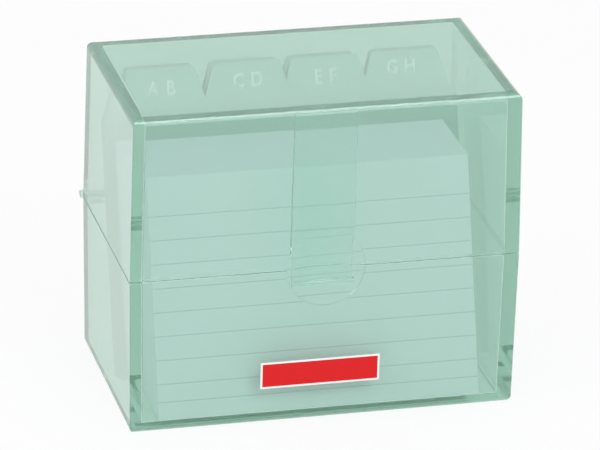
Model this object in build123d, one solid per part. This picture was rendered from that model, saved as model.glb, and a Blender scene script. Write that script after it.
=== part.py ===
from build123d import *
import math
import os

# Box sizes in millimetres, measured on the outside at the parting line
box_width = 89.0
box_depth = 50.5
base_height = 37.0
lid_height = 38.3
wall = 2.2
side_wall = 2.9
floor_thickness = 2.0
roof_thickness = 2.0
base_draft = 0.67
lid_draft = 0.82
parting_gap = 0.10

# Rounding of the moulded shells
edge_radius = 1.8
rim_radius = 0.25
inner_corner_radius = 0.4
roof_inner_radius = 0.35
floor_inner_radius = 0.35

# Finger dish across the parting line
dish_radius = 8.9
dish_depth = 1.20
dish_edge_width = 0.25
dish_edge_depth = 0.40

# Springy latch strip inside the lid, behind its front wall
strip_top_width = 14.3
strip_end_width = 14.5
strip_thickness = 1.20
strip_roof_gap = 0.12
strip_wall_gap = 0.50
strip_lean = 1.24
strip_below_parting = 5.2
hook_height = 1.2
hook_round = 0.50
hook_overhang = 0.15
hook_gap = 0.40

# Rear hinge
barrel_radius = 1.10
barrel_clear = 0.30
pin_radius = 0.50
pin_running_gap = 0.06
pin_fixed_gap = 0.01
pin_head_radius = 0.85
pin_head_length = 0.70
gusset_height = 2.4
gusset_gap = 0.20
base_knuckle_length = 5.0
lid_knuckle_length = 3.0
knuckle_gap = 0.25
hinge_inset = 0.25

# Cards
card_side_step = 2.35
card_height = 54.5
card_thickness = 0.20
card_gap = 0.006
cards_per_packet = 10
packet_count = 10
deck_floor_gap = 0.05
deck_rear_gap = 0.65

# Lettered dividers, each slid a little sideways as loose leaves are
divider_side_gap = 2.25
divider_headroom = 5.09
divider_thickness = 0.20
divider_gap = 0.02
tab_height = 10.3
tab_top_width = 15.4
tab_base_width = 21.6
tab_end_margin = 0.05
tab_round = 1.2
tab_positions = 4
divider_names = [
    "divider_a_b", "divider_c_d", "divider_e_f", "divider_g_h",
    "divider_i_j", "divider_k_l", "divider_m_n", "divider_o_p",
    "divider_q_r", "divider_s_t", "divider_u_v", "divider_w_z",
]
divider_slides = [0.45, 1.35, 0.65, 0.45, 0.10, 0.80, -0.30, 0.50, 0.00, 0.60, -0.20, 0.30]

# Front label
label_width = 27.4
label_height = 6.4
label_thickness = 0.10
label_gap = 0.02
label_x = -0.7
label_z = 11.8

# Derived places
parting = base_height
base_top = parting - parting_gap / 2
lid_bottom = parting + parting_gap / 2
box_top = parting + lid_height
front = -box_depth / 2
rear = box_depth / 2
base_slope = math.tan(math.radians(base_draft))
lid_slope = math.tan(math.radians(lid_draft))
ball_radius = (dish_radius ** 2 + dish_depth ** 2) / (2 * dish_depth)
ball_y = front + dish_edge_depth + dish_depth - ball_radius
hinge_y = rear + barrel_radius + barrel_clear
hinge_z = parting

# Leaves that stand on the floor and lean on the rear wall under the closed lid
leaf_floor = floor_thickness + deck_floor_gap
deck_front_gap = floor_inner_radius + deck_floor_gap
leaf_front = front + (base_top - floor_thickness) * base_slope + wall + deck_front_gap
leaf_rise = box_top - roof_thickness - divider_headroom - leaf_floor
leaf_rear = rear - wall - (leaf_floor + leaf_rise - lid_bottom) * lid_slope - deck_rear_gap
card_stack = packet_count * cards_per_packet * (card_thickness + card_gap)
leaf_stack = card_stack + (len(divider_names) - 1) * (divider_thickness + divider_gap)
leaf_run = leaf_rear - leaf_front
lean = math.acos(leaf_stack / math.hypot(leaf_run, leaf_rise)) - math.atan2(leaf_rise, leaf_run)
divider_height = leaf_rise / math.cos(lean)
divider_width = box_width - 2 * (side_wall + divider_side_gap)
card_width = divider_width - 2 * card_side_step
tab_pitch = (divider_width - tab_base_width - 2 * tab_end_margin) / (tab_positions - 1)


def block(side_inset, inset, start, height, draft, upward):
    """Sharp block with its widest outline at the height start."""
    down = Plane(origin=(0, 0, start), x_dir=(1, 0, 0), z_dir=(0, 0, -1))
    plane = Plane.XY.offset(start) if upward else down
    outline = plane * Rectangle(box_width - 2 * side_inset, box_depth - 2 * inset)
    return extrude(outline, amount=height, taper=draft)


def round_corners(body, radius):
    """Round the upright edges of a block."""
    upright = [edge for edge in body.edges() if abs(edge.tangent_at(0.5).Z) > 0.9]
    return fillet(upright, radius)


def level_edges(solid, height):
    """Edges of a solid that lie at one height."""
    return solid.edges().filter_by_position(Axis.Z, height - 0.01, height + 0.01)


def rod(x_low, x_high, radius):
    """Round bar along the hinge axis."""
    place = Plane(origin=(x_low, hinge_y, hinge_z), x_dir=(0, 1, 0), z_dir=(1, 0, 0))
    return extrude(place * Circle(radius), amount=x_high - x_low)


def dish():
    """Round hollow with a bevelled edge, to push the latch back through."""
    upright = Rot(-90, 0, 0)
    mouth = dish_edge_depth + wall
    spread = mouth * dish_edge_width / dish_edge_depth
    ball = Pos(0, ball_y, parting) * Sphere(ball_radius)
    column = Pos(0, front, parting) * upright * Cylinder(dish_radius, 2 * wall)
    bevel = upright * Cone(dish_radius + spread, dish_radius, mouth)
    return (ball & column) + Pos(0, front + dish_edge_depth - mouth / 2, parting) * bevel


def knuckle(x_low, x_high, sign, bore):
    """Hinge knuckle with a gusset to the wall above (sign 1) or below (sign -1)."""
    root = rear - wall / 2
    tip = barrel_radius * math.sqrt(0.5)
    points = [
        (root, hinge_z + sign * gusset_height),
        (root, hinge_z + sign * gusset_gap),
        (hinge_y, hinge_z + sign * gusset_gap),
        (hinge_y + tip, hinge_z + sign * tip),
    ]
    corners = [(x_low, y, z) for y, z in points]
    web = make_face(Polyline(*corners, close=True))
    body = extrude(web, amount=x_high - x_low, dir=(1, 0, 0))
    return body + rod(x_low, x_high, barrel_radius) - rod(x_low - 1, x_high + 1, bore)


def knuckle_spans():
    """Spans along X of one hinge: lid outer, base, lid inner, from the side inwards."""
    outer_high = box_width / 2 - hinge_inset
    outer_low = outer_high - lid_knuckle_length
    base_high = outer_low - knuckle_gap
    base_low = base_high - base_knuckle_length
    inner_high = base_low - knuckle_gap
    inner_low = inner_high - lid_knuckle_length
    return (outer_low, outer_high), (base_low, base_high), (inner_low, inner_high)


def both_sides(span):
    """The same span on the right and mirrored to the left."""
    low, high = span
    return [(low, high), (-high, -low)]


def make_base():
    """Lower shell with floor, dish half and hinge knuckles."""
    outer = block(0, 0, base_top, base_top, base_draft, False)
    outer = fillet(level_edges(outer, 0), edge_radius)
    outer = fillet(level_edges(outer, base_top), rim_radius)
    hollow = block(side_wall, wall, base_top, base_top - floor_thickness, base_draft, False)
    hollow = round_corners(hollow, inner_corner_radius)
    hollow = fillet(level_edges(hollow, floor_thickness), floor_inner_radius)
    shell = outer - hollow - dish()
    for low, high in both_sides(knuckle_spans()[1]):
        shell += knuckle(low, high, -1, pin_radius + pin_fixed_gap)
    return shell


def make_lid():
    """Upper shell with roof, dish half and hinge knuckles."""
    rise = box_top - lid_bottom
    outer = block(0, 0, lid_bottom, rise, lid_draft, True)
    outer = fillet(level_edges(outer, box_top), edge_radius)
    outer = fillet(level_edges(outer, lid_bottom), rim_radius)
    hollow = block(side_wall, wall, lid_bottom, rise - roof_thickness, lid_draft, True)
    hollow = round_corners(hollow, inner_corner_radius)
    hollow = fillet(level_edges(hollow, box_top - roof_thickness), roof_inner_radius)
    shell = outer - hollow - dish()
    outer_span, base_span, inner_span = knuckle_spans()
    for span in (outer_span, inner_span):
        for low, high in both_sides(span):
            shell += knuckle(low, high, 1, pin_radius + pin_running_gap)
    return shell


def make_strip():
    """Latch strip that hangs from the roof on a rounded root and ends in a forward hook."""
    half = strip_thickness / 2
    root_z = box_top - roof_thickness - strip_roof_gap - half
    lid_inner = front + (root_z - lid_bottom) * lid_slope + wall
    root_y = lid_inner + strip_wall_gap + half
    slant = math.tan(math.radians(strip_lean))
    drop = root_z - (parting - strip_below_parting)
    length = drop / math.cos(math.radians(strip_lean))
    hook_z = parting - strip_below_parting + hook_height / 2
    base_inner = front + (base_top - hook_z) * base_slope + wall
    reach = root_y + (root_z - hook_z) * slant - half - (base_inner + hook_gap)
    top, end = strip_top_width / 2, strip_end_width / 2
    outline = Polyline((-top, 0), (top, 0), (end, -length), (-end, -length), close=True)
    arm = extrude(Plane.XZ * make_face(outline), amount=half, both=True)
    root = Rot(0, 90, 0) * Cylinder(half, strip_top_width)
    hook = Box(strip_end_width + 2 * hook_overhang, half + reach, hook_height)
    hook = Pos(0, -(half + reach) / 2, hook_height / 2 - length) * hook
    hook = fillet(hook.faces().sort_by(Axis.Y)[0].edges(), hook_round)
    place = Plane(origin=(0, root_y, root_z), x_dir=(1, 0, 0), z_dir=(0, -slant, 1))
    return place * (arm + root + hook)


def make_pin(side):
    """Moulded hinge pin with a head outside the outer knuckle."""
    outer_span, base_span, inner_span = knuckle_spans()
    start, end = inner_span[0], outer_span[1] + pin_fixed_gap
    if side > 0:
        return rod(start, end, pin_radius) + rod(end, end + pin_head_length, pin_head_radius)
    return rod(-end, -start, pin_radius) + rod(-end - pin_head_length, -end, pin_head_radius)


def leaning_plane(y):
    """Plane of one leaf, with its origin on the rear bottom edge."""
    return Plane(
        origin=(0, y, leaf_floor),
        x_dir=(1, 0, 0),
        z_dir=(0, math.sin(lean), math.cos(lean)),
    )


def leaf_pitch(thickness, gap):
    """Step along the floor from one leaf to the next."""
    return (thickness + gap) / math.cos(lean)


def make_packet(index):
    """One packet of cards, each card its own solid."""
    pitch = leaf_pitch(card_thickness, card_gap)
    card = Box(card_width, card_thickness, card_height, align=(Align.CENTER, Align.MAX, Align.MIN))
    cards = []
    for number in range(cards_per_packet):
        y = leaf_front + (index * cards_per_packet + number) * pitch
        cards.append(leaning_plane(y) * card)
    return Compound(children=cards)


def make_divider(index):
    """One divider leaf with a lettered tab in its own place along the top edge."""
    y = leaf_front + card_stack / math.cos(lean)
    y += index * leaf_pitch(divider_thickness, divider_gap)
    place = index % tab_positions
    centre = (place - (tab_positions - 1) / 2) * tab_pitch
    foot_low = centre - tab_base_width / 2
    foot_high = centre + tab_base_width / 2
    shoulder = divider_height - tab_height
    body = Rectangle(divider_width, shoulder, align=(Align.CENTER, Align.MIN))
    tab = make_face(Polyline(
        (foot_low, shoulder / 2),
        (foot_low, shoulder),
        (centre - tab_top_width / 2, divider_height),
        (centre + tab_top_width / 2, divider_height),
        (foot_high, shoulder),
        (foot_high, shoulder / 2),
        close=True,
    ))
    sheet = body + tab
    sheet = fillet(sheet.vertices().group_by(Axis.Y)[-1], tab_round)
    sheet = fillet(sheet.vertices().group_by(Axis.Y)[0], tab_round)
    leaf = extrude(Plane.XZ * sheet, amount=divider_thickness)
    return leaning_plane(y) * Pos(divider_slides[index], 0, 0) * leaf


def make_label():
    """Thin blank label on the lower front wall."""
    y = front + (parting - label_z) * base_slope - label_gap
    place = Plane(origin=(label_x, y, label_z), x_dir=(1, 0, 0), z_dir=(0, -base_slope, 1))
    sheet = Box(
        label_width, label_thickness, label_height, align=(Align.CENTER, Align.MAX, Align.CENTER))
    return place * sheet


def save(name, solid):
    """Write one named piece."""
    solid.label = name
    export_step(solid, f"parts/{name}.step")


os.makedirs("parts", exist_ok=True)
save("base_shell", make_base())
save("lid_shell", make_lid())
save("latch_strip", make_strip())
save("hinge_pin_right", make_pin(1))
save("hinge_pin_left", make_pin(-1))
save("front_label", make_label())
for packet in range(packet_count):
    save(f"card_packet_{packet + 1:02d}", make_packet(packet))
for number, name in enumerate(divider_names):
    save(name, make_divider(number))
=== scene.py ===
"""Dressed scene of a translucent index card box with ruled cards and lettered dividers."""
import logging
import math
from dataclasses import dataclass, field
from enum import Enum
from typing import Any

import bpy
from mathutils import Matrix, Vector


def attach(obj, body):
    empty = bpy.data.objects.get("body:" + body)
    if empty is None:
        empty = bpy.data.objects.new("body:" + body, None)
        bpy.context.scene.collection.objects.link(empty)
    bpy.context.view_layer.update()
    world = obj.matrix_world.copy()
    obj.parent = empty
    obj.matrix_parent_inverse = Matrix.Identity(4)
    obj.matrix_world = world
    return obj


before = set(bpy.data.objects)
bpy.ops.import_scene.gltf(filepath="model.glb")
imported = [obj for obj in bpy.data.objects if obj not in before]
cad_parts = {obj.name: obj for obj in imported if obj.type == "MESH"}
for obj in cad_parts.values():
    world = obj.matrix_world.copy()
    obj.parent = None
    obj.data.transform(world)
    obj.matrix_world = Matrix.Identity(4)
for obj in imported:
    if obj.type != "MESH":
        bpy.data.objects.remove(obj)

LOG = logging.getLogger("card_box")
MM = 0.001
MM_PER_METRE = 1000.0
WHITE = (1.0, 1.0, 1.0, 1.0)

Triple = tuple[float, float, float]
Colour = Triple


class Ray(Enum):
    """Kinds of ray that surfaces answer in their own way."""

    CAMERA = "Is Camera Ray"
    GLOSSY = "Is Glossy Ray"
    TRANSMISSION = "Is Transmission Ray"
    SHADOW = "Is Shadow Ray"
    DIFFUSE = "Is Diffuse Ray"


class TabPlace(Enum):
    """Places of a divider's tab along its top edge, as steps from the middle."""

    FAR_LEFT = -1.5
    LEFT = -0.5
    RIGHT = 0.5
    FAR_RIGHT = 1.5


class Signal:
    """A node socket that takes part in Python arithmetic."""

    def __init__(self, tree: bpy.types.NodeTree, socket: bpy.types.NodeSocket) -> None:
        """Keep the tree and the output socket."""
        self.tree = tree
        self.socket = socket

    def _math(self, operation: str, *operands: "Signal | float") -> "Signal":
        """Add one Math node.

        Args:
            operation: Name of the Math node's operation.
            operands: Signals or numbers for the node's sockets, in order.

        Returns:
            The node's value.
        """
        node = self.tree.nodes.new("ShaderNodeMath")
        node.operation = operation
        for index, value in enumerate(operands):
            if isinstance(value, Signal):
                self.tree.links.new(value.socket, node.inputs[index])
            else:
                node.inputs[index].default_value = value
        return Signal(self.tree, node.outputs[0])

    def __add__(self, other: "Signal | float") -> "Signal":
        """Sum of two values."""
        return self._math("ADD", self, other)

    def __radd__(self, other: float) -> "Signal":
        """Sum with a number on the left."""
        return self._math("ADD", other, self)

    def __sub__(self, other: "Signal | float") -> "Signal":
        """Difference of two values."""
        return self._math("SUBTRACT", self, other)

    def __rsub__(self, other: float) -> "Signal":
        """Difference from a number on the left."""
        return self._math("SUBTRACT", other, self)

    def __mul__(self, other: "Signal | float") -> "Signal":
        """Product of two values."""
        return self._math("MULTIPLY", self, other)

    def __rmul__(self, other: float) -> "Signal":
        """Product with a number on the left."""
        return self._math("MULTIPLY", other, self)

    def __abs__(self) -> "Signal":
        """Distance from zero."""
        return self._math("ABSOLUTE", self)

    def __gt__(self, other: "Signal | float") -> "Signal":
        """One where this value is the larger, zero elsewhere."""
        return self._math("GREATER_THAN", self, other)

    def __lt__(self, other: "Signal | float") -> "Signal":
        """One where this value is the smaller, zero elsewhere."""
        return self._math("LESS_THAN", self, other)

    def floor(self) -> "Signal":
        """Whole part."""
        return self._math("FLOOR", self)

    def fract(self) -> "Signal":
        """Part after the point."""
        return self._math("FRACT", self)

    def larger(self, other: "Signal | float") -> "Signal":
        """The larger of two values."""
        return self._math("MAXIMUM", self, other)


class Recipe:
    """Node tree of one material or world, with one method that adds any node."""

    def __init__(self, tree: bpy.types.NodeTree) -> None:
        """Empty the tree that is to be filled."""
        self.tree = tree
        self.tree.nodes.clear()

    def node(self, kind: str, settings: dict[str, Any], inputs: dict[Any, Any]) -> bpy.types.Node:
        """Add one node of any type.

        Args:
            kind: Type name of the node.
            settings: Properties of the node, set before its sockets.
            inputs: Values or signals of its input sockets, by name or number.

        Returns:
            The new node.
        """
        node = self.tree.nodes.new(kind)
        for name, value in settings.items():
            setattr(node, name, value)
        for key, value in inputs.items():
            if isinstance(value, Signal):
                self.tree.links.new(value.socket, node.inputs[key])
            else:
                node.inputs[key].default_value = value
        return node

    def out(self, node: bpy.types.Node, socket: int | str = 0) -> Signal:
        """Output socket of a node as a signal."""
        return Signal(self.tree, node.outputs[socket])

    def place(self) -> Signal:
        """Object coordinates in metres."""
        return self.out(self.node("ShaderNodeTexCoord", {}, {}), "Object")

    def facing(self) -> tuple[Signal, Signal, Signal]:
        """Parts of the surface normal in the object's own axes."""
        coordinates = self.node("ShaderNodeTexCoord", {}, {})
        return self.parts(self.out(coordinates, "Normal"))

    def parts(self, vector: Signal) -> tuple[Signal, Signal, Signal]:
        """Split a vector into its three values."""
        split = self.node("ShaderNodeSeparateXYZ", {}, {0: vector})
        return self.out(split, 0), self.out(split, 1), self.out(split, 2)

    def stretched(self, vector: Signal, scale: Triple, turn: Triple = (0.0, 0.0, 0.0)) -> Signal:
        """Scale and turn a vector.

        Args:
            vector: Coordinates to change.
            scale: Factor along each axis.
            turn: Rotation about each axis in radians.

        Returns:
            The changed coordinates.
        """
        mapping = self.node(
            "ShaderNodeMapping", {}, {"Vector": vector, "Scale": scale, "Rotation": turn})
        return self.out(mapping)

    def noise(self, vector: Signal, scale: float = 1.0, detail: float = 2.0) -> Signal:
        """Soft noise from zero to one.

        Args:
            vector: Coordinates of the pattern.
            scale: Number of blobs per unit of the coordinates.
            detail: Octaves of finer noise.

        Returns:
            The noise value.
        """
        texture = self.node(
            "ShaderNodeTexNoise", {}, {"Vector": vector, "Scale": scale, "Detail": detail})
        return self.out(texture)

    def band(self, value: Signal, low: float, high: float) -> Signal:
        """Smooth step from zero at low to one at high.

        Args:
            value: Value that is tested.
            low: Where the step starts.
            high: Where the step ends.

        Returns:
            The stepped value.
        """
        step = self.node(
            "ShaderNodeMapRange",
            {"interpolation_type": "SMOOTHSTEP"},
            {"Value": value, "From Min": low, "From Max": high},
        )
        return self.out(step)

    def blend(self, factor: Signal, first: Colour | Signal, second: Colour | Signal) -> Signal:
        """Mix two colours.

        Args:
            factor: Share of the second colour.
            first: First colour, as three numbers or a signal.
            second: Second colour, as three numbers or a signal.

        Returns:
            The mixed colour.
        """
        colours = [
            value if isinstance(value, Signal) else (*value, 1.0) for value in (first, second)]
        mix = self.node(
            "ShaderNodeMix",
            {"data_type": "RGBA"},
            {0: factor, 6: colours[0], 7: colours[1]},
        )
        return self.out(mix, 2)

    def bump(self, height: Signal, depth: float, strength: float) -> Signal:
        """Normal that follows a height.

        Args:
            height: Height from zero to one.
            depth: Depth of the relief in millimetres.
            strength: Share of the relief that is used.

        Returns:
            The bent normal.
        """
        node = self.node(
            "ShaderNodeBump", {}, {"Strength": strength, "Distance": depth * MM, "Height": height})
        return self.out(node)

    def shown_rays(self) -> Signal:
        """One for rays that see the plain surroundings, zero for rays that carry light."""
        path = self.node("ShaderNodeLightPath", {}, {})
        shown = self.out(path, Ray.CAMERA.value)
        for ray in (Ray.GLOSSY, Ray.TRANSMISSION):
            shown = shown.larger(self.out(path, ray.value))
        return shown

    def principled(self, inputs: dict[str, Any]) -> Signal:
        """Principled shader with the given values and signals."""
        return self.out(self.node("ShaderNodeBsdfPrincipled", {}, inputs))

    def mixed(self, factor: Signal, first: Signal, second: Signal) -> Signal:
        """Mix two shaders by the share of the second."""
        return self.out(self.node("ShaderNodeMixShader", {}, {0: factor, 1: first, 2: second}))

    def finish(self, **shaders: Signal) -> None:
        """Send shaders to the material's output, by the names of its sockets."""
        self.node("ShaderNodeOutputMaterial", {}, shaders)


def new_material(name: str) -> tuple[bpy.types.Material, Recipe]:
    """Start a material.

    Args:
        name: Name of the material.

    Returns:
        The material and the recipe that fills it.
    """
    material = bpy.data.materials.new(name)
    material.use_nodes = True
    return material, Recipe(material.node_tree)


@dataclass(frozen=True)
class MintPlastic:
    """Clear moulded plastic, tinted mint, with faint flow marks and handling scratches."""

    name: str = "mint_plastic"
    tint: Colour = (0.61, 0.78, 0.715)
    pale_tint: Colour = (0.64, 0.80, 0.735)
    clearness: float = 0.91
    refraction: float = 1.49
    smoothest: float = 0.03
    roughest: float = 0.055
    scratch_roughness: float = 0.05
    absorbed: Colour = (0.0, 0.48, 0.27)
    density: float = 15.5
    lamp_light: Colour = (0.91, 0.985, 0.965)
    flow_stretch: Triple = (1.0, 1.0, 0.45)
    flow_scale: float = 60.0
    flow_detail: float = 3.0
    grain_scale: float = 1800.0
    scratch_stretch: Triple = (30.0, 30.0, 900.0)
    scratch_turn: Triple = (0.25, 0.35, 0.15)
    scratch_low: float = 0.66
    scratch_high: float = 0.72
    flow_height: float = 0.6
    grain_height: float = 0.05
    scratch_height: float = 0.06
    relief_depth: float = 0.003
    relief_share: float = 0.4

    def make(self) -> bpy.types.Material:
        """Build the material.

        Returns:
            The finished material.
        """
        material, recipe = new_material(self.name)
        place = recipe.place()
        drawn = recipe.stretched(place, self.flow_stretch)
        flow = recipe.noise(drawn, self.flow_scale, self.flow_detail)
        grain = recipe.noise(place, self.grain_scale)
        rubbed = recipe.noise(recipe.stretched(place, self.scratch_stretch, self.scratch_turn))
        scratch = recipe.band(rubbed, self.scratch_low, self.scratch_high)
        roughness = self.smoothest + (self.roughest - self.smoothest) * flow
        roughness = roughness + self.scratch_roughness * scratch
        height = self.flow_height * flow + self.grain_height * grain
        height = height + self.scratch_height * scratch
        shell = recipe.principled({
            "Base Color": recipe.blend(flow, self.tint, self.pale_tint),
            "Roughness": roughness,
            "Normal": recipe.bump(height, self.relief_depth, self.relief_share),
            "IOR": self.refraction,
            "Transmission Weight": self.clearness,
        })
        volume = recipe.node("ShaderNodeVolumeAbsorption", {}, {
            "Color": (*self.absorbed, 1.0),
            "Density": self.density,
        })
        path = recipe.node("ShaderNodeLightPath", {}, {})
        lit = recipe.out(path, Ray.SHADOW.value).larger(recipe.out(path, Ray.DIFFUSE.value))
        passed = recipe.node("ShaderNodeBsdfTransparent", {}, {"Color": (*self.lamp_light, 1.0)})
        recipe.finish(
            Surface=recipe.mixed(lit, shell, recipe.out(passed)),
            Volume=recipe.out(volume),
        )
        return material


@dataclass(frozen=True)
class PinPlastic:
    """Denser mint plastic of the small hinge pins, with fine turning marks."""

    name: str = "pin_plastic"
    tint: Colour = (0.76, 0.90, 0.84)
    shade: Colour = (0.70, 0.86, 0.79)
    clearness: float = 0.88
    refraction: float = 1.49
    smoothest: float = 0.22
    ring_roughness: float = 0.16
    ring_stretch: Triple = (6000.0, 300.0, 300.0)
    cloud_scale: float = 900.0
    relief_depth: float = 0.01
    relief_share: float = 0.4

    def make(self) -> bpy.types.Material:
        """Build the material.

        Returns:
            The finished material.
        """
        material, recipe = new_material(self.name)
        place = recipe.place()
        rings = recipe.noise(recipe.stretched(place, self.ring_stretch))
        cloud = recipe.noise(place, self.cloud_scale)
        recipe.finish(Surface=recipe.principled({
            "Base Color": recipe.blend(cloud, self.shade, self.tint),
            "Roughness": self.smoothest + self.ring_roughness * rings,
            "Normal": recipe.bump(rings, self.relief_depth, self.relief_share),
            "IOR": self.refraction,
            "Transmission Weight": self.clearness,
        }))
        return material


@dataclass(frozen=True)
class LeafGeometry:
    """How cards and dividers lean in the box, in millimetres and degrees."""

    lean: float = 16.925
    floor: float = 2.05
    first_card: float = -22.241
    card_step: float = 0.206
    card_count: int = 100
    divider_step: float = 0.22
    leaf_thickness: float = 0.20
    face_limit: float = 0.7

    @property
    def slope(self) -> float:
        """Lean in radians."""
        return math.radians(self.lean)

    def divider_foot(self, index: int) -> float:
        """Rear bottom edge of one divider along Y.

        Args:
            index: Number of the divider from the front, from zero.

        Returns:
            Place along Y in millimetres.
        """
        run = self.card_count * self.card_step + index * self.divider_step
        return self.first_card + run / math.cos(self.slope)

    def along(self, recipe: Recipe) -> Signal:
        """Height along a leaf in millimetres.

        Args:
            recipe: Node tree that the maths is added to.

        Returns:
            Distance from the leaf's bottom edge.
        """
        height = recipe.parts(recipe.place())[2]
        return (height - self.floor * MM) * (MM_PER_METRE / math.cos(self.slope))

    def depth(self, recipe: Recipe) -> Signal:
        """Distance through the stack in millimetres.

        Args:
            recipe: Node tree that the maths is added to.

        Returns:
            Distance behind the front face of the foremost card.
        """
        _, y, z = recipe.parts(recipe.place())
        rear = y * math.cos(self.slope) - z * math.sin(self.slope)
        start = self.first_card * math.cos(self.slope) - self.floor * math.sin(self.slope)
        return rear * MM_PER_METRE - (start - self.leaf_thickness)

    def outward(self, recipe: Recipe) -> Signal:
        """How far a surface looks along the leaves' front.

        Args:
            recipe: Node tree that the maths is added to.

        Returns:
            One on front faces, minus one on rear faces, near zero on cut edges.
        """
        _, y, z = recipe.facing()
        return z * math.sin(self.slope) - y * math.cos(self.slope)

    def front_faces(self, recipe: Recipe) -> Signal:
        """One on faces that look to the front of the box, zero elsewhere."""
        return self.outward(recipe) > self.face_limit

    def cut_edges(self, recipe: Recipe) -> Signal:
        """One on the cut edges of the leaves, zero elsewhere."""
        return abs(self.outward(recipe)) < self.face_limit


@dataclass(frozen=True)
class RuledCard:
    """White index card stock with printed rules, and a tone of its own on each card."""

    leaves: LeafGeometry
    name: str = "ruled_card"
    paper: Colour = (0.785, 0.785, 0.81)
    warm_paper: Colour = (0.745, 0.75, 0.77)
    ink: Colour = (0.46, 0.56, 0.56)
    painted_gap_shade: Colour = (0.62, 0.66, 0.645)
    lowest_rule: float = 4.07
    second_rule: float = 8.12
    rule_pitch: float = 5.37
    rule_count: int = 8
    rule_width: float = 0.24
    rule_core: float = 0.6
    rule_fade: float = 1.4
    rule_margin: float = 1.0
    least_ink: float = 0.72
    fibre_stretch: Triple = (1400.0, 2600.0, 2600.0)
    fibre_detail: float = 4.0
    cloud_scale: float = 160.0
    cloud_share: float = 0.5
    lines_per_card: float = 0.16
    gap_shade_wander: float = 0.5
    gap_shade_wander_scale: float = 60.0
    gap_shade_low: float = 0.30
    gap_shade_high: float = 0.5
    painted_gap_shade_share: float = 0.45
    edge_share: float = 0.10
    smoothest: float = 0.78
    fibre_roughness: float = 0.16
    relief_depth: float = 0.02
    relief_share: float = 0.35
    refraction: float = 1.4

    def line(self, recipe: Recipe, distance: Signal) -> Signal:
        """One on a printed line, fading to zero at its sides.

        Args:
            recipe: Node tree that the maths is added to.
            distance: Distance from the middle of the line in millimetres.

        Returns:
            The cover of ink.
        """
        half = self.rule_width / 2
        return 1.0 - recipe.band(distance, half * self.rule_core, half * self.rule_fade)

    def rules(self, recipe: Recipe) -> Signal:
        """Printed lines across the front of each card.

        Args:
            recipe: Node tree that the maths is added to.

        Returns:
            One on the ink, zero on bare paper.
        """
        along = self.leaves.along(recipe)
        step = (along - self.second_rule) * (1.0 / self.rule_pitch) + 0.5
        offset = abs(step.fract() - 0.5) * self.rule_pitch
        top = self.second_rule + (self.rule_count - 0.5) * self.rule_pitch
        inside = (along > self.second_rule - self.rule_margin) * (along < top)
        even = self.line(recipe, offset) * inside
        single = self.line(recipe, abs(along - self.lowest_rule))
        return even.larger(single) * self.leaves.front_faces(recipe)

    def stock(self, recipe: Recipe) -> Signal:
        """Bare card, with a tone of its own on each card and painted shade lines for the gaps between
        cards in the stack's sides.

        Args:
            recipe: Node tree that the maths is added to.

        Returns:
            The card's colour.
        """
        place = recipe.place()
        number = self.leaves.depth(recipe) * (1.0 / self.leaves.card_step)
        lot = recipe.out(recipe.node(
            "ShaderNodeTexWhiteNoise", {"noise_dimensions": "1D"}, {"W": number.floor()}))
        cloud = recipe.noise(place, self.cloud_scale)
        tone = self.cloud_share * cloud + (1.0 - self.cloud_share) * lot
        paper = recipe.blend(tone, self.paper, self.warm_paper)
        # Painted shade: darker lines on the cut edges every few cards, standing for the shaded gaps
        # between the cards.
        wander = recipe.noise(place, self.gap_shade_wander_scale)
        group = number * self.lines_per_card + self.gap_shade_wander * wander
        edges = self.leaves.cut_edges(recipe)
        painted_gap_shade = recipe.band(abs(group.fract() - 0.5), self.gap_shade_low, self.gap_shade_high) * edges
        gap_shade_and_edge_tone = self.painted_gap_shade_share * painted_gap_shade + self.edge_share * edges * lot
        return recipe.blend(gap_shade_and_edge_tone, paper, self.painted_gap_shade)

    def make(self) -> bpy.types.Material:
        """Build the material.

        Returns:
            The finished material.
        """
        material, recipe = new_material(self.name)
        drawn = recipe.stretched(recipe.place(), self.fibre_stretch)
        fibre = recipe.noise(drawn, detail=self.fibre_detail)
        inked = self.rules(recipe) * (self.least_ink + (1.0 - self.least_ink) * fibre)
        recipe.finish(Surface=recipe.principled({
            "Base Color": recipe.blend(inked, self.stock(recipe), self.ink),
            "Roughness": self.smoothest + self.fibre_roughness * fibre,
            "Normal": recipe.bump(fibre, self.relief_depth, self.relief_share),
            "IOR": self.refraction,
        }))
        return material


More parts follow.
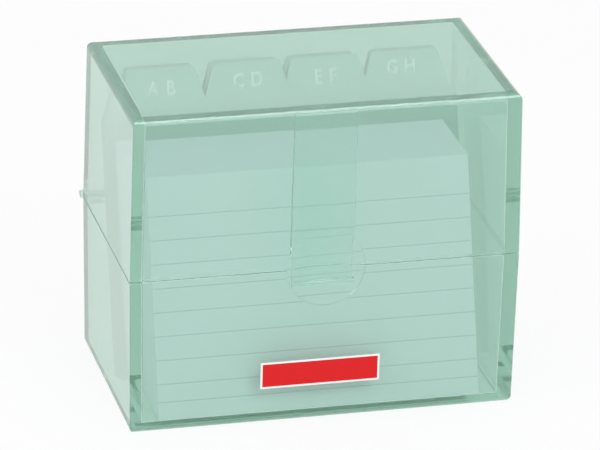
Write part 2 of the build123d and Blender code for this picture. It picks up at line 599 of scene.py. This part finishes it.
@dataclass(frozen=True)
class DividerCard:
    """Pale green card of the lettered dividers, with fibres, paler cut edges and painted shade on the
    lower part of each leaf.
    """

    leaves: LeafGeometry
    name: str = "divider_card"
    card: Colour = (0.50, 0.62, 0.57)
    light_card: Colour = (0.55, 0.67, 0.62)
    edge: Colour = (0.88, 0.92, 0.89)
    edge_share: float = 0.8
    painted_low_shade: float = 0.88
    painted_shade_fade_low: float = 57.0
    painted_shade_fade_high: float = 61.0
    fibre_stretch: Triple = (1100.0, 2400.0, 2400.0)
    fibre_detail: float = 4.0
    fleck_scale: float = 2300.0
    fleck_detail: float = 1.0
    fleck_low: float = 0.68
    fleck_high: float = 0.75
    fleck_share: float = 0.3
    cloud_scale: float = 120.0
    smoothest: float = 0.70
    fibre_roughness: float = 0.2
    relief_depth: float = 0.02
    relief_share: float = 0.4
    refraction: float = 1.4

    def make(self) -> bpy.types.Material:
        """Build the material.

        Returns:
            The finished material.
        """
        material, recipe = new_material(self.name)
        place = recipe.place()
        drawn = recipe.stretched(place, self.fibre_stretch)
        fibre = recipe.noise(drawn, detail=self.fibre_detail)
        specks = recipe.noise(place, self.fleck_scale, self.fleck_detail)
        fleck = recipe.band(specks, self.fleck_low, self.fleck_high)
        cloud = recipe.noise(place, self.cloud_scale)
        card = recipe.blend(cloud, self.card, self.light_card)
        # Painted shade: the card is darker below the tabs, where the leaves sit deep in the box, and
        # fades to its own colour at tab height.
        painted_shade_card = tuple(self.painted_low_shade * value for value in self.card)
        tab = recipe.band(self.leaves.along(recipe), self.painted_shade_fade_low, self.painted_shade_fade_high)
        card = recipe.blend(tab, painted_shade_card, card)
        card = recipe.blend(self.fleck_share * fleck, card, self.edge)
        edges = self.edge_share * self.leaves.cut_edges(recipe)
        recipe.finish(Surface=recipe.principled({
            "Base Color": recipe.blend(edges, card, self.edge),
            "Roughness": self.smoothest + self.fibre_roughness * fibre,
            "Normal": recipe.bump(fibre, self.relief_depth, self.relief_share),
            "IOR": self.refraction,
        }))
        return material


@dataclass(frozen=True)
class TabInk:
    """Pale printing ink of the tab letters, with a slightly broken cover."""

    name: str = "tab_ink"
    ink: Colour = (0.89, 0.92, 0.90)
    thin_ink: Colour = (0.80, 0.86, 0.83)
    grain_scale: float = 3500.0
    grain_detail: float = 3.0
    cover_low: float = 0.35
    cover_high: float = 0.6
    smoothest: float = 0.45
    grain_roughness: float = 0.2
    relief_depth: float = 0.006
    relief_share: float = 0.4
    refraction: float = 1.45

    def make(self) -> bpy.types.Material:
        """Build the material.

        Returns:
            The finished material.
        """
        material, recipe = new_material(self.name)
        grain = recipe.noise(recipe.place(), self.grain_scale, self.grain_detail)
        cover = recipe.band(grain, self.cover_low, self.cover_high)
        recipe.finish(Surface=recipe.principled({
            "Base Color": recipe.blend(cover, self.thin_ink, self.ink),
            "Roughness": self.smoothest + self.grain_roughness * grain,
            "Normal": recipe.bump(grain, self.relief_depth, self.relief_share),
            "IOR": self.refraction,
        }))
        return material


@dataclass(frozen=True)
class LabelPaper:
    """Lacquered red label with a bare pale border, in millimetres."""

    name: str = "label_paper"
    centre_x: float = -0.7
    centre_z: float = 11.8
    width: float = 27.4
    height: float = 6.4
    border: float = 0.45
    border_blur: float = 0.03
    red: Colour = (0.78, 0.014, 0.016)
    deep_red: Colour = (0.72, 0.010, 0.012)
    pale: Colour = (0.93, 0.93, 0.92)
    screen_scale: float = 5200.0
    cloud_scale: float = 320.0
    cloud_share: float = 0.6
    smoothest: float = 0.30
    screen_roughness: float = 0.12
    relief_depth: float = 0.006
    relief_share: float = 0.3
    refraction: float = 1.45
    shine: float = 0.2
    least_coat: float = 0.04
    cloud_coat: float = 0.06
    coat_roughness: float = 0.12

    def make(self) -> bpy.types.Material:
        """Build the material.

        Returns:
            The finished material.
        """
        material, recipe = new_material(self.name)
        place = recipe.place()
        x, _, z = recipe.parts(place)
        side = abs(x * MM_PER_METRE - self.centre_x) - (self.width / 2 - self.border)
        level = abs(z * MM_PER_METRE - self.centre_z) - (self.height / 2 - self.border)
        rim = recipe.band(side.larger(level), -self.border_blur, self.border_blur)
        screen = recipe.noise(place, self.screen_scale)
        cloud = recipe.noise(place, self.cloud_scale)
        tone = self.cloud_share * cloud + (1.0 - self.cloud_share) * screen
        red = recipe.blend(tone, self.red, self.deep_red)
        recipe.finish(Surface=recipe.principled({
            "Base Color": recipe.blend(rim, red, self.pale),
            "Roughness": self.smoothest + self.screen_roughness * screen,
            "Normal": recipe.bump(screen, self.relief_depth, self.relief_share),
            "IOR": self.refraction,
            "Specular IOR Level": self.shine,
            "Coat Weight": self.least_coat + self.cloud_coat * cloud,
            "Coat Roughness": self.coat_roughness,
        }))
        return material


@dataclass(frozen=True)
class FloorPaper:
    """Plain white studio floor that shows white and still takes a soft shadow."""

    name: str = "floor_paper"
    white: Colour = (0.90, 0.90, 0.90)
    soft_white: Colour = (0.87, 0.875, 0.87)
    cloud_scale: float = 6.0
    roughness: float = 0.9
    shine: float = 0.1
    glow: float = 0.86

    def make(self) -> bpy.types.Material:
        """Build the material.

        Returns:
            The finished material.
        """
        material, recipe = new_material(self.name)
        cloud = recipe.noise(recipe.place(), self.cloud_scale)
        paper = recipe.principled({
            "Base Color": recipe.blend(cloud, self.white, self.soft_white),
            "Roughness": self.roughness,
            "Specular IOR Level": self.shine,
        })
        light = recipe.node("ShaderNodeEmission", {}, {"Color": WHITE, "Strength": 1.0})
        shown = self.glow * recipe.shown_rays()
        recipe.finish(Surface=recipe.mixed(shown, paper, recipe.out(light)))
        return material


class Bench:
    """Modelling steps that act on one object at a time."""

    @staticmethod
    def clear() -> None:
        """Deselect everything."""
        bpy.ops.object.select_all(action="DESELECT")

    @staticmethod
    def take(piece: bpy.types.Object) -> None:
        """Select one object and make it active.

        Args:
            piece: Object that the next steps act on.
        """
        Bench.clear()
        piece.select_set(True)
        bpy.context.view_layer.objects.active = piece

    @staticmethod
    def settle(piece: bpy.types.Object, place: Matrix) -> None:
        """Put a mesh in its place and bring its object back to the origin.

        Args:
            piece: Mesh object that is placed.
            place: Where it goes, in metres.
        """
        Bench.take(piece)
        piece.matrix_world = place
        bpy.ops.object.transform_apply(location=True, rotation=True, scale=True)


def dress(node: str, material: bpy.types.Material) -> None:
    """Give a CAD node its finish.

    Args:
        node: Name of the node.
        material: Finish for all of it.
    """
    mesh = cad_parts[node].data
    mesh.materials.clear()
    mesh.materials.append(material)
    LOG.info("dressed %s with %s", node, material.name)


@dataclass
class BoxShells:
    """Lower shell, lid, latch strip and hinge pins of the box."""

    plastic: MintPlastic = field(default_factory=MintPlastic)
    thin_plastic: MintPlastic = MintPlastic(
        name="thin_mint_plastic",
        tint=(0.87, 0.94, 0.92),
        pale_tint=(0.90, 0.96, 0.94),
        clearness=0.96,
        density=4.0,
    )
    pin_plastic: PinPlastic = field(default_factory=PinPlastic)
    shells: tuple[str, ...] = ("base_shell", "lid_shell")
    latch: str = "latch_strip"
    hinge_pins: tuple[str, ...] = ("hinge_pin_left", "hinge_pin_right")

    def dress(self) -> None:
        """Give the moulded pieces their plastic."""
        clear = self.plastic.make()
        dense = self.pin_plastic.make()
        for node in self.shells:
            dress(node, clear)
        dress(self.latch, self.thin_plastic.make())
        for node in self.hinge_pins:
            dress(node, dense)


@dataclass
class CardStack:
    """Ten packets of ruled cards."""

    leaves: LeafGeometry
    packets: int = 10

    def dress(self) -> None:
        """Give every packet the ruled card."""
        card = RuledCard(self.leaves).make()
        for number in range(self.packets):
            dress(f"card_packet_{number + 1:02d}", card)


@dataclass
class DividerSet:
    """Lettered dividers, with the printed letters modelled as thin plates of ink.

    Lengths are in millimetres. The slides are those of the leaves in the CAD; the shifts and
    lifts are the print's own, for each of the four tab places.
    """

    leaves: LeafGeometry
    pairs: tuple[str, ...] = (
        "AB", "CD", "EF", "GH", "IJ", "KL", "MN", "OP", "QR", "ST", "UV", "WZ")
    slides: tuple[float, ...] = (
        0.45, 1.35, 0.65, 0.45, 0.10, 0.80, -0.30, 0.50, 0.00, 0.60, -0.20, 0.30)
    print_shifts: tuple[float, ...] = (-0.1, 0.15, 0.1, -0.9)
    print_lifts: tuple[float, ...] = (0.0, 0.5, 0.0, 1.0)
    tab_pitch: float = 19.0
    letter_height: float = 3.45
    letter_gap: float = 1.75
    letter_along: float = 64.45
    letter_narrow: float = 0.80
    stroke: float = 0.024
    curve_steps: int = 6
    ink_depth: float = 0.008
    ink_gap: float = 0.003
    weld: float = 0.001
    flat_angle: float = 1.0

    def dress(self) -> None:
        """Give every leaf the pale green card."""
        card = DividerCard(self.leaves).make()
        for pair in self.pairs:
            dress(f"divider_{pair[0].lower()}_{pair[1].lower()}", card)

    def letter(self, character: str) -> bpy.types.Object:
        """Model one letter flat, standing on its left bottom corner.

        Args:
            character: The letter.

        Returns:
            A mesh object at the origin, in metres, as thick as the ink.
        """
        Bench.clear()
        bpy.ops.object.text_add(location=(0.0, 0.0, 0.0))
        text = bpy.context.object
        text.data.body = character
        text.data.resolution_u = self.curve_steps
        text.data.offset = self.stroke
        bpy.ops.object.convert(target="MESH")
        piece = bpy.context.object
        low, high = self.reach(piece)
        factor = self.letter_height * MM / (high.y - low.y)
        narrow = Matrix.Scale(self.letter_narrow, 4, (1.0, 0.0, 0.0))
        Bench.settle(piece, narrow @ Matrix.Scale(factor, 4) @ Matrix.Translation(-low))
        self.thicken(piece)
        return piece

    @staticmethod
    def reach(piece: bpy.types.Object) -> tuple[Vector, Vector]:
        """Lowest and highest corner of a mesh.

        Args:
            piece: Mesh object at the origin.

        Returns:
            The two corners.
        """
        points = [vertex.co for vertex in piece.data.vertices]
        low = Vector(min(point[axis] for point in points) for axis in range(3))
        high = Vector(max(point[axis] for point in points) for axis in range(3))
        return low, high

    def thicken(self, piece: bpy.types.Object) -> None:
        """Turn a flat letter into a closed plate.

        Args:
            piece: Flat mesh object in the XY plane.
        """
        Bench.take(piece)
        bpy.ops.object.mode_set(mode="EDIT")
        bpy.ops.mesh.select_all(action="SELECT")
        bpy.ops.mesh.remove_doubles(threshold=self.weld * MM)
        bpy.ops.mesh.dissolve_limited(angle_limit=math.radians(self.flat_angle))
        bpy.ops.mesh.extrude_region_move(
            TRANSFORM_OT_translate={"value": (0.0, 0.0, self.ink_depth * MM)})
        bpy.ops.mesh.select_all(action="SELECT")
        bpy.ops.mesh.normals_make_consistent(inside=False)
        bpy.ops.object.mode_set(mode="OBJECT")

    def tab_frame(self, index: int) -> Matrix:
        """Axes on the front of one tab, with the origin at the middle of its letters.

        Args:
            index: Number of the divider from the front, from zero.

        Returns:
            Place and turn of the letters, in metres.
        """
        slope = self.leaves.slope
        up = Vector((0.0, math.sin(slope), math.cos(slope)))
        forward = Vector((0.0, -math.cos(slope), math.sin(slope)))
        across = Vector((1.0, 0.0, 0.0))
        places = list(TabPlace)
        number = index % len(places)
        centre = places[number].value * self.tab_pitch + self.print_shifts[number]
        centre += self.slides[index]
        foot = Vector((centre, self.leaves.divider_foot(index), self.leaves.floor))
        lift = self.leaves.leaf_thickness + self.ink_gap
        origin = foot + up * (self.letter_along + self.print_lifts[number]) + forward * lift
        turn = Matrix((across, up, forward)).transposed().to_4x4()
        return Matrix.Translation(origin * MM) @ turn

    def build(self) -> None:
        """Model the letters of every tab and let them ride on their leaves."""
        ink = TabInk().make()
        for index, pair in enumerate(self.pairs):
            letters = [self.letter(character) for character in pair]
            widths = [self.reach(letter)[1].x for letter in letters]
            start = -(sum(widths) + self.letter_gap * MM) / 2
            drop = -self.letter_height * MM / 2
            for number, letter in enumerate(letters):
                shift = start + number * (widths[0] + self.letter_gap * MM)
                place = self.tab_frame(index) @ Matrix.Translation((shift, drop, 0.0))
                Bench.settle(letter, place)
                letter.name = f"tab_letter_{pair[number]}"
                letter.data.name = letter.name
                letter.data.materials.clear()
                letter.data.materials.append(ink)
                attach(letter, f"leaf_{pair[0].lower()}_{pair[1].lower()}")
                LOG.info("built %s", letter.name)


@dataclass
class FrontLabel:
    """Small label on the lower front wall."""

    paper: LabelPaper = field(default_factory=LabelPaper)

    def dress(self) -> None:
        """Give the label its red paper."""
        dress("front_label", self.paper.make())


@dataclass(frozen=True)
class SoftBox:
    """Rectangular lamp that faces the box, in metres and watts."""

    name: str
    place: Triple
    size: tuple[float, float]
    power: float
    gloss_only: bool = False
    target: Triple = (0.0, 0.0, 0.04)

    def build(self) -> None:
        """Hang the lamp, and hide it from all but reflections if it only adds gloss."""
        data = bpy.data.lights.new(self.name, "AREA")
        data.shape = "RECTANGLE"
        data.size, data.size_y = self.size
        data.energy = self.power
        lamp = bpy.data.objects.new(self.name, data)
        bpy.context.collection.objects.link(lamp)
        direction = Vector(self.target) - Vector(self.place)
        lamp.location = self.place
        lamp.rotation_euler = direction.to_track_quat("-Z", "Y").to_euler()
        if self.gloss_only:
            lamp.visible_diffuse = False
            lamp.visible_transmission = False
            lamp.visible_volume_scatter = False


@dataclass
class Studio:
    """Floor, surroundings, lamps and camera, in metres and degrees."""

    bounces: int = 24
    floor_size: float = 6.0
    floor_gap: float = 0.0002
    sky: float = 0.82
    lamps: tuple[SoftBox, ...] = (
        SoftBox("front_softbox", (0.28, -0.86, 0.78), (0.35, 0.35), 2.3),
        SoftBox("left_softbox", (-0.9, -0.25, 0.6), (0.6, 0.6), 2.4),
        SoftBox("gloss_panel", (0.28, -0.86, 0.78), (0.36, 0.6), 4.6, gloss_only=True),
    )
    azimuth: float = -14.45
    elevation: float = 23.08
    roll: float = 1.39
    distance: float = 1.1214
    aim: Triple = (0.000297, 0.0, 0.03679)
    lens: float = 297.6
    sensor: float = 36.0
    nearest: float = 0.05
    farthest: float = 50.0

    def build_floor(self) -> None:
        """Lay a flat white floor just under the box."""
        Bench.clear()
        bpy.ops.mesh.primitive_plane_add(
            size=self.floor_size, location=(0.0, 0.0, -self.floor_gap))
        floor = bpy.context.object
        floor.name = "studio_floor"
        floor.data.materials.append(FloorPaper().make())
        LOG.info("built %s", floor.name)

    def build_sky(self) -> None:
        """Fill the world with plain light that shows as white."""
        world = bpy.data.worlds.new("studio_sky")
        world.use_nodes = True
        recipe = Recipe(world.node_tree)
        light, shown = (
            recipe.out(recipe.node("ShaderNodeBackground", {}, {"Color": WHITE, "Strength": strength}))
            for strength in (self.sky, 1.0))
        mixed = recipe.mixed(recipe.shown_rays(), light, shown)
        recipe.node("ShaderNodeOutputWorld", {}, {"Surface": mixed})
        bpy.context.scene.world = world

    def build_camera(self) -> None:
        """Set the camera at the photograph's angle."""
        turn = math.radians(self.azimuth)
        rise = math.radians(self.elevation)
        tilt = math.radians(self.roll)
        back = Vector((
            math.sin(turn) * math.cos(rise), -math.cos(turn) * math.cos(rise), math.sin(rise)))
        right = Vector((math.cos(turn), math.sin(turn), 0.0))
        up = back.cross(right)
        rolled_right = right * math.cos(tilt) + up * math.sin(tilt)
        rolled_up = up * math.cos(tilt) - right * math.sin(tilt)
        data = bpy.data.cameras.new("photo_camera")
        data.lens = self.lens
        data.sensor_width = self.sensor
        data.clip_start = self.nearest
        data.clip_end = self.farthest
        camera = bpy.data.objects.new("photo_camera", data)
        bpy.context.collection.objects.link(camera)
        axes = Matrix((rolled_right, rolled_up, back)).transposed().to_4x4()
        camera.matrix_world = Matrix.Translation(Vector(self.aim) + back * self.distance) @ axes
        bpy.context.scene.camera = camera

    def build(self) -> None:
        """Set the whole stage."""
        self.build_floor()
        self.build_sky()
        for lamp in self.lamps:
            lamp.build()
        self.build_camera()
        scene = bpy.context.scene
        scene.view_settings.view_transform = "Standard"
        scene.cycles.max_bounces = self.bounces
        scene.cycles.glossy_bounces = self.bounces
        scene.cycles.transmission_bounces = self.bounces


def main() -> None:
    """Build and dress the card box in order."""
    logging.basicConfig(level=logging.INFO, format="%(message)s")
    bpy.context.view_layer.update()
    leaves = LeafGeometry()
    BoxShells().dress()
    CardStack(leaves).dress()
    dividers = DividerSet(leaves)
    dividers.dress()
    dividers.build()
    FrontLabel().dress()
    Studio().build()


if __name__ == "__main__":
    main()
